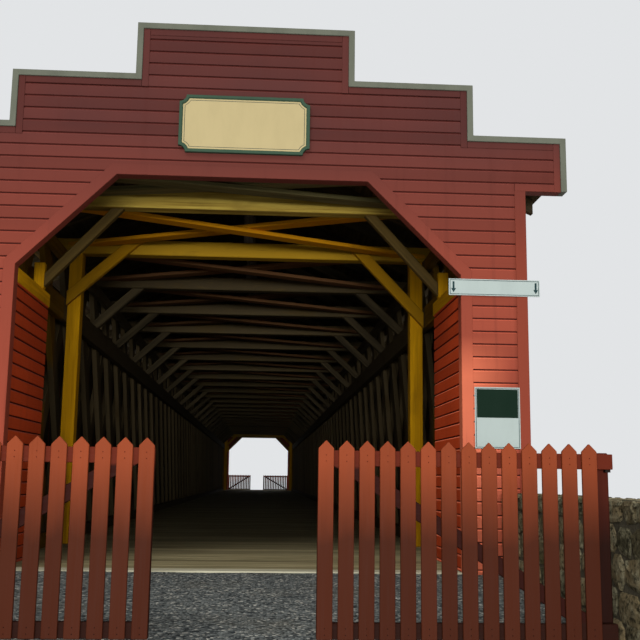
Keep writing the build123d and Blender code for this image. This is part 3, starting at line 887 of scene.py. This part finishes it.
def add_stone(pieces, wall, sides, levels, limits):
    """One rough stone: a worn face just inside the wall's face, and sides down into the mortar.

    Its outline wanders, but stays within the limits along the wall and up it.
    """
    origin, run, rise, normal = wall
    (left, right), (foot, head) = sides, levels
    (first, last), (low, high) = limits
    chance = pieces.chance
    size = min(right - left, head - foot)
    cuts = [chance.uniform(*corner_cuts) * size for _ in range(8)]
    outline = [
        (left + cuts[0], foot), (right - cuts[1], foot), (right, foot + cuts[2]), (right, head - cuts[3]),
        (right - cuts[4], head), (left + cuts[5], head), (left, head - cuts[6]), (left, foot + cuts[7]),
    ]
    reach = wander * size
    for number, (x, z) in enumerate(outline):
        shift_x, shift_z = (chance.uniform(-reach, reach) for _ in range(2))
        if first < x < last and low < z < high:
            outline[number] = (min(max(x + shift_x, first), last), min(max(z + shift_z, low), high))
    middle = Vector(((left + right) / 2, (foot + head) / 2))
    corners = []
    for share, depth, spread in stone_rings:
        for corner in outline:
            place = middle + (Vector(corner) - middle) * share
            down = depth + chance.uniform(-spread, spread)
            corners.append(origin + run * place.x + rise * place.y - normal * down)
    corners.append(origin + run * middle.x + rise * middle.y - normal * chance.uniform(0.0004, 0.003))
    pieces.add(corners, ring_faces(8, 3) + [(16 + i, 16 + (i + 1) % 8, 24) for i in range(8)], run, rise)


def stone_row(pieces, wall, span, levels, band):
    """Stones side by side between two levels of a band of the wall, where it is in sight."""
    origin, run, rise, normal = wall
    start, end = span
    place = start
    while end - place > least_stone:
        length = pieces.chance.uniform(*stone_length)
        if end - place - length < least_rest * stone_length[0]:
            length = end - place
        middle = origin + run * (place + length / 2) + rise * (sum(levels) / 2)
        if not buried(middle + normal * 0.01):
            left = place + (joint if place > start else 0.0)
            right = place + length - (joint if place + length < end - 1e-6 else 0.0)
            foot = levels[0] + joint / 2
            head = levels[1] - (joint / 2 if levels[1] < band[1] else 0.0)
            limits = ((start, end), (band[0] + joint / 2, band[1]))
            add_stone(pieces, wall, (left, right), (foot, head), limits)
        place += length


def stone_wall(pieces, face):
    """Courses of stones over one flat side."""
    normal = face.normal.copy()
    up = Y if normal.z > 0.9 else Z
    run = up.cross(normal).normalized()
    rise = normal.cross(run)
    origin = face.verts[0].co.copy()
    outline = [((vert.co - origin).dot(run), (vert.co - origin).dot(rise)) for vert in face.verts]
    levels = sorted({round(level, 3) for _, level in outline})
    for low, high in zip(levels, levels[1:]):
        rows = max(1, round((high - low) / stone_height))
        step = (high - low) / rows
        cuts = [low + step * (n + pieces.chance.uniform(-0.3, 0.3)) for n in range(1, rows)]
        cuts = [low, *cuts, high]
        for foot, head in zip(cuts, cuts[1:]):
            pairs = zip(level_spans(outline, foot + 1e-4), level_spans(outline, head - 1e-4))
            for (start, end), (other_start, other_end) in pairs:
                wall = (origin, run, rise, normal)
                span = (max(start, other_start), min(end, other_end))
                stone_row(pieces, wall, span, (foot, head), (low, high))


def masonry():
    """Mortar with rough stones over every side in sight, but none on the approaches' tops, which are left
    for the gravel.
    """
    for seed, name, nodes in (
        (30, "parapet", ["parapets"]),
        (31, "abutment", ["abutment_near", "abutment_far"]),
        (32, "pier", ["centre_pier"]),
    ):
        pieces = Pieces(seed)
        for node in nodes:
            mortar_core(node)
            form = plain_form(node)
            for face in form.faces:
                middle = face.calc_center_median()
                gravelled = name == "abutment" and face.normal.z > 0.9 and abs(middle.y) > portal_face
                if face.normal.z > -0.5 and not gravelled:
                    stone_wall(pieces, face)
            form.free()
        pieces.build(f"{name}_stones", [stone])


def approach_gravel():
    """Uneven gravel between the walls of both approaches."""
    rows, columns = 60, 48
    half = parapet_inner - 0.001
    pieces = Pieces(34)
    corners = []
    for row in range(rows + 1):
        distance = portal_face + 0.001 + (approach_end - portal_face - 0.002) * row / rows
        for column in range(columns + 1):
            x = -half + 2 * half * column / columns
            level = approach_level(distance) - pieces.chance.uniform(0.0, gravel_height)
            corners.append(Vector((x, -distance, level)))
    firsts = [row * (columns + 1) + column for row in range(rows) for column in range(columns)]
    faces = [(first + columns + 1, first + columns + 2, first + 1, first) for first in firsts]
    pieces.add(corners, faces, X, Y)
    pieces.turned()
    pieces.build("approach_gravel", [gravel_top])


# Floor, side walls and roof


def boards_along(pieces, low, high, width, gap, along, chamfer, material=0):
    """Boards side by side along the bridge, between two corners."""
    count = round((high.y - low.y + gap) / (width + gap))
    pitch = (high.y - low.y + gap) / count
    for number in range(count):
        start = low.y + pitch * number
        end = start + pitch - gap
        pieces.board((low.x, start, low.z), (high.x, end, high.z), along, chamfer, material)


def deck_planks():
    """Worn planks across the roadway."""
    pieces = Pieces(40)
    boards_along(pieces, deck_low, deck_high, plank_width, plank_gap, X, 0.003)
    pieces.build("deck_planks", [deck_wood], ["deck"])


def side_boards():
    """Upright boards of the side walls, painted outside and bare inside."""
    for seed, (node, inner_face) in enumerate((("siding_right", 5), ("siding_left", 1)), 41):
        low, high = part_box(node)
        pieces = Pieces(seed)
        faces = [1 if number == inner_face else 0 for number in range(10)]
        boards_along(pieces, low, high, side_board_width, side_board_gap, Z, 0.002, faces)
        pieces.build(f"{node}_boards", [side_red, inner_wood], [node])


def roof(side, node, seed):
    """Boarding, shingles and a ridge cap over one slope."""
    thickness = roof_high.z - min(point.z for point in corners_of("roof_right") if point.x < 1e-4)
    rise = roof_high.z - roof_low.z - thickness
    length = math.hypot(roof_high.x, rise)
    down = Vector((side * roof_high.x, 0, -rise)) / length
    outward = Vector((side * rise, 0, roof_high.x)) / length
    ridge = Z * roof_high.z
    depth = thickness * roof_high.x / length
    bed = ridge - outward * (depth - sheathing)
    trim = depth * rise / roof_high.x + 0.0002
    pieces = Pieces(seed)

    whole = roof_high.y - roof_low.y
    rows = round(length / roof_board_width)
    width = (length - trim) / rows
    for row in range(rows):
        centre = bed - outward * sheathing / 2 + down * (trim + width * (row + 0.5))
        pieces.bar(centre, Y, down, (whole, width - board_gap, sheathing), 0.0, 1)

    lift = (shingle_butt + shingle_head) * exposure / shingle_length / (1 - exposure / shingle_length)
    courses = int((length - cap_width - exposure) / exposure) + 1
    for butt, foot in [(length, 0.0)] + [(length - exposure * row, lift) for row in range(courses)]:
        start = roof_low.y
        while start < roof_high.y - 0.02:
            end = min(roof_high.y, start + pieces.chance.uniform(*shingle_width))
            low = butt - pieces.chance.uniform(0.0, butt_spread)
            head = max(trim, butt - shingle_length)
            top = foot + shingle_butt - pieces.chance.uniform(0.0, butt_wear)
            corners = [
                bed + down * place + outward * height + Y * y
                for place, heights in ((low, (foot, top)), (head, (0.0, shingle_head)))
                for y in (start, end - shingle_gap)
                for height in heights
            ]
            faces = [(0, 2, 3, 1), (4, 5, 7, 6), (0, 1, 5, 4), (2, 6, 7, 3), (1, 3, 7, 5), (0, 4, 6, 2)]
            pieces.add(corners, faces, down, Y)
            start = end

    count = round(whole / cap_length)
    span = whole / count
    for number in range(count):
        centre = ridge + down * (cap_width / 2 + cap_drop) - outward * cap_thickness / 2
        centre.y = roof_low.y + span * (number + 0.5)
        pieces.bar(centre, Y, down, (span - board_gap, cap_width, cap_thickness), 0.0, 2)
    pieces.build(f"{node}_shingles", [shingle, inner_wood, grey_wood], [node])


# Signs


def notched_outline(half_width, half_height, inset):
    """A rectangle with hollow corners, set in from its edge."""
    radius = notch + inset
    first_angle = math.asin(inset / radius)
    points = []
    for side_x, side_z in ((1, 1), (-1, 1), (-1, -1), (1, -1)):
        arc = []
        for step in range(9):
            angle = first_angle + (math.pi / 2 - 2 * first_angle) * step / 8
            x = half_width - radius * math.cos(angle)
            z = half_height - radius * math.sin(angle)
            arc.append((side_x * x, side_z * z))
        points += arc if side_x * side_z < 0 else arc[::-1]
    return points


def plaque():
    """A cream plaque with hollow corners in a green frame, with a fine dark line round its field."""
    low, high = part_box("name_plaque")
    middle = (low + high) / 2
    half_width, half_height = (high.x - low.x) / 2, (high.z - low.z) / 2
    field = low.y + field_depth
    rings = [
        (0.0, high.y, 0), (0.0, low.y + frame_ease, 0), (frame_ease, low.y, 0), (frame_width, low.y, 0),
        (frame_width + field_slope, field, 1), (frame_width + line_inset, field, 2),
        (frame_width + line_inset + line_width, field, 1),
    ]
    pieces = Pieces(50)
    corners = []
    for inset, y, _ in rings:
        for x, z in notched_outline(half_width, half_height, inset):
            corners.append(Vector((middle.x + x, y, middle.z + z)))
    count = len(corners) // len(rings)
    faces = ring_faces(count, len(rings))
    faces += [tuple(range(len(corners) - count, len(corners))), tuple(range(count - 1, -1, -1))]
    materials = [material for _, _, material in rings[:-1] for _ in range(count)]
    pieces.add(corners, faces, X, Z, materials + [1, 0])
    pieces.build("plaque", [plaque_green, plaque_cream, board_ink], ["name_plaque"])


def sign_base(pieces, low, high):
    """A white board with a thin dark line near its edge."""
    pieces.board((low.x, low.y + mark, low.z), high, X, 0.001, 0)
    left, right = low.x + border, high.x - border
    foot, head = low.z + border, high.z - border
    under, over = foot + line_width, head - line_width
    for start_x, end_x, start_z, end_z in (
        (left, right, foot, under), (left, right, over, head),
        (left, left + line_width, under, over), (right - line_width, right, under, over),
    ):
        pieces.board((start_x, low.y, start_z), (end_x, low.y + mark, end_z), X, 0.0, 1)


def clearance_board():
    """White board with an arrow down to each of its ends."""
    low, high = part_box("height_board")
    pieces = Pieces(51)
    sign_base(pieces, low, high)
    reach = (high.z - low.z) * 0.33
    head_half = reach * 0.45
    centre_z = (low.z + high.z) / 2
    neck = centre_z - reach * 0.25
    for centre_x in (low.x + 0.85 * reach, high.x - 0.75 * reach):
        corners = [
            Vector((centre_x + x, y, z))
            for y in (low.y, low.y + mark)
            for x, z in ((-head_half, neck), (head_half, neck), (0.0, centre_z - reach))
        ]
        faces = [(0, 1, 2), (5, 4, 3), (0, 3, 4, 1), (1, 4, 5, 2), (2, 5, 3, 0)]
        pieces.add(corners, faces, X, Z, 1)
        half = reach * 0.18
        foot, head = (centre_x - half, low.y, neck), (centre_x + half, low.y + mark, centre_z + reach)
        pieces.board(foot, head, Z, 0.0, 1)
    pieces.build("clearance_board", [board_white, board_ink], ["height_board"])


def load_board():
    """White board whose upper half is a green field."""
    low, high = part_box("weight_board")
    pieces = Pieces(52)
    sign_base(pieces, low, high)
    edge = 2 * border
    middle = (low.z + high.z) / 2
    pieces.board((low.x + edge, low.y, middle), (high.x - edge, low.y + mark, high.z - edge), X, 0.0, 2)
    pieces.build("load_board", [board_white, board_ink, board_green], ["weight_board"])


# Gates


def nail_head(pieces, centre, outward, radius, material=0):
    """A low round head on a face."""
    corners = []
    for share, height in ((1.0, 0.0), (1.0, 0.0008), (0.6, 0.0015)):
        for step in range(8):
            turn = 2 * math.pi * step / 8
            arm = X * math.cos(turn) + Z * math.sin(turn)
            corners.append(centre + arm * radius * share + outward * height)
    pieces.add(corners, ring_faces(8, 3) + [tuple(range(16, 24))], X, Z, material)


def gate_nails(leaf):
    """Painted nails through the pickets into the rails, and bolts through the straps."""
    low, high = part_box(f"{leaf}_frame")
    levels = (low.z + rail_height / 2, high.z - rail_height / 2)
    pieces = Pieces(60)
    way = -1 if low.y < 0 else 1
    form = plain_form(f"{leaf}_pickets")
    for group in loose_parts(form):
        middle = sum((vert.co for vert in group), Vector()) / len(group)
        face = max(way * vert.co.y for vert in group)
        for level in levels:
            for shift in (-nail_spread, nail_spread):
                centre = Vector((middle.x, way * face, level + shift))
                nail_head(pieces, centre, Y * way, nail_radius)
    form.free()
    strap_low, strap_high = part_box(f"{leaf}_straps")
    inner_face = min(abs(point.y) for point in corners_of(f"{leaf}_straps") if abs(point.x) < strap_root)
    for level in levels:
        for share in bolt_shares:
            reach = strap_high.x - strap_low.x
            x = strap_low.x + reach * share if strap_low.x > 0 else strap_high.x - reach * share
            nail_head(pieces, Vector((x, way * inner_face, level)), -Y * way, bolt_radius, 1)
    body = frame["nodes"][f"{leaf}_frame"]["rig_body"]
    pieces.build(f"{leaf}_nails", [gate_frame_red, iron], body=body)


# Camera and light


def camera():
    """The photograph's place and angle: a person standing in front of the near gates."""
    lens = bpy.data.cameras.new("camera")
    lens.sensor_width = 36
    lens.lens = 54.2
    lens.clip_start = 0.05
    lens.clip_end = 400
    eye = stand("camera", lens)
    yaw, pitch, roll = 0.0579, 0.1633, 0.0130
    turn = Matrix.Rotation(-yaw, 4, "Z") @ Matrix.Rotation(math.pi / 2 + pitch, 4, "X")
    eye.matrix_world = Matrix.Translation((0.1215, -20.21, 2.7255)) @ turn @ Matrix.Rotation(roll, 4, "Z")
    bpy.context.scene.camera = eye


def world():
    """Even pale light from all round, seen as a pale backdrop."""
    room = bpy.data.worlds.new("studio")
    bpy.context.scene.world = room
    room.use_nodes = True
    tree = room.node_tree
    light = tree.nodes["Background"]
    light.inputs["Color"].default_value = (1.0, 1.0, 1.0, 1.0)
    light.inputs["Strength"].default_value = 0.5
    backdrop = tree.nodes.new("ShaderNodeBackground")
    backdrop.inputs["Color"].default_value = rgb(226, 228, 230)
    backdrop.inputs["Strength"].default_value = 1.0
    path = tree.nodes.new("ShaderNodeLightPath")
    choice = tree.nodes.new("ShaderNodeMixShader")
    tree.links.new(path.outputs["Is Camera Ray"], choice.inputs[0])
    tree.links.new(light.outputs[0], choice.inputs[1])
    tree.links.new(backdrop.outputs[0], choice.inputs[2])
    tree.links.new(choice.outputs[0], tree.nodes["World Output"].inputs["Surface"])


def sun():
    """One wide soft lamp from above, in front and to the left."""
    lamp = bpy.data.lights.new("sun", "SUN")
    lamp.energy = 1.0
    lamp.angle = math.radians(25)
    lamp.color = (1.0, 0.985, 0.96)
    holder = stand("sun", lamp)
    aim = Vector((0.38, 0.72, -0.75)).normalized()
    holder.rotation_euler = aim.to_track_quat("-Z", "Y").to_euler()


def front_lamp():
    """A large soft lamp low in front of the near portal, which lights the frames inside."""
    lamp = bpy.data.lights.new("front_lamp", "AREA")
    lamp.shape = "RECTANGLE"
    lamp.size = 5.5
    lamp.size_y = 1.8
    lamp.energy = 160
    lamp.spread = math.radians(70)
    holder = stand("front_lamp", lamp)
    holder.location = (0, -28, 3.1)
    holder.rotation_euler = Y.to_track_quat("-Z", "Y").to_euler()
    holder.visible_camera = False


def floor():
    """A wide pale studio floor."""
    mesh = bpy.data.meshes.new("studio_floor")
    reach = 120.0
    corners = [(-reach, -reach, 0), (reach, -reach, 0), (reach, reach, 0), (-reach, reach, 0)]
    mesh.from_pydata(corners, [], [(0, 1, 2, 3)])
    look = Shader("studio_floor")
    look.surface.inputs["Base Color"].default_value = rgb(206, 206, 204)
    mesh.materials.append(look.material)
    stand("studio_floor", mesh)


camera()
world()
sun()
front_lamp()
floor()

masonry()
approach_gravel()
deck_planks()
side_boards()
roof(1, "roof_right", 43)
roof(-1, "roof_left", 44)
portal_front_boards()
portal_trim()
return_boards()
plaque()
clearance_board()
load_board()

# Timbers and painted parts: material, slot, size of the eased edges, and nodes
for material, slot, ease, nodes in (
    (portal_red, "red_boards", 0.001, ["portal_wall_near", "portal_wall_far", "return_panels"]),
    (portal_red, "red_boards", 0.0015, ["opening_casing"]),
    (sage, "sage_trim", 0.002, ["portal_coping"]),
    (ochre, "ochre_timber", 0.004, ["shelter_plates", "plate_blocks", "portal_posts"]),
    (knee_wood, "ochre_timber", 0.004, ["portal_knee_braces"]),
    (tie_wood, "ochre_timber", 0.005, ["tie_beams"]),
    (brace_wood, "ochre_timber", 0.003, ["lateral_braces_lower", "lateral_braces_upper"]),
    (grey_wood, "weathered_timber", 0.003, ["king_posts"]),
    (inner_wood, "weathered_timber", 0.004, ["knee_braces", "floor_beams", "bed_timbers"]),
    (inner_wood, "weathered_timber", 0.003, ["rafters", "wall_plates", "stringers"]),
    (inner_wood, "weathered_timber", 0.002, ["ridge_board"]),
    (old_wood, "weathered_timber", 0.004, ["truss_end_posts"]),
    (old_wood, "weathered_timber", 0.003, ["chords_right", "web_inner_right", "web_outer_right"]),
    (old_wood, "weathered_timber", 0.003, ["chords_left", "web_inner_left", "web_outer_left"]),
    (pale_wood, "pale_timber", 0.004, ["thresholds"]),
    (gate_post_red, "gate_timber", 0.003, ["gate_posts"]),
):
    for node in nodes:
        dress(node, material, ease)

for end in ("near", "far"):
    for side in ("right", "left"):
        leaf = f"{end}_{side}_gate"
        dress(f"{leaf}_frame", gate_frame_red, trim_ease)
        dress(f"{leaf}_pickets", gate_red, trim_ease)
        dress(f"{leaf}_straps", iron, iron_ease)
        gate_nails(leaf)
dress("gate_pintles", iron, iron_ease)

bpy.context.scene.view_settings.view_transform = "Standard"
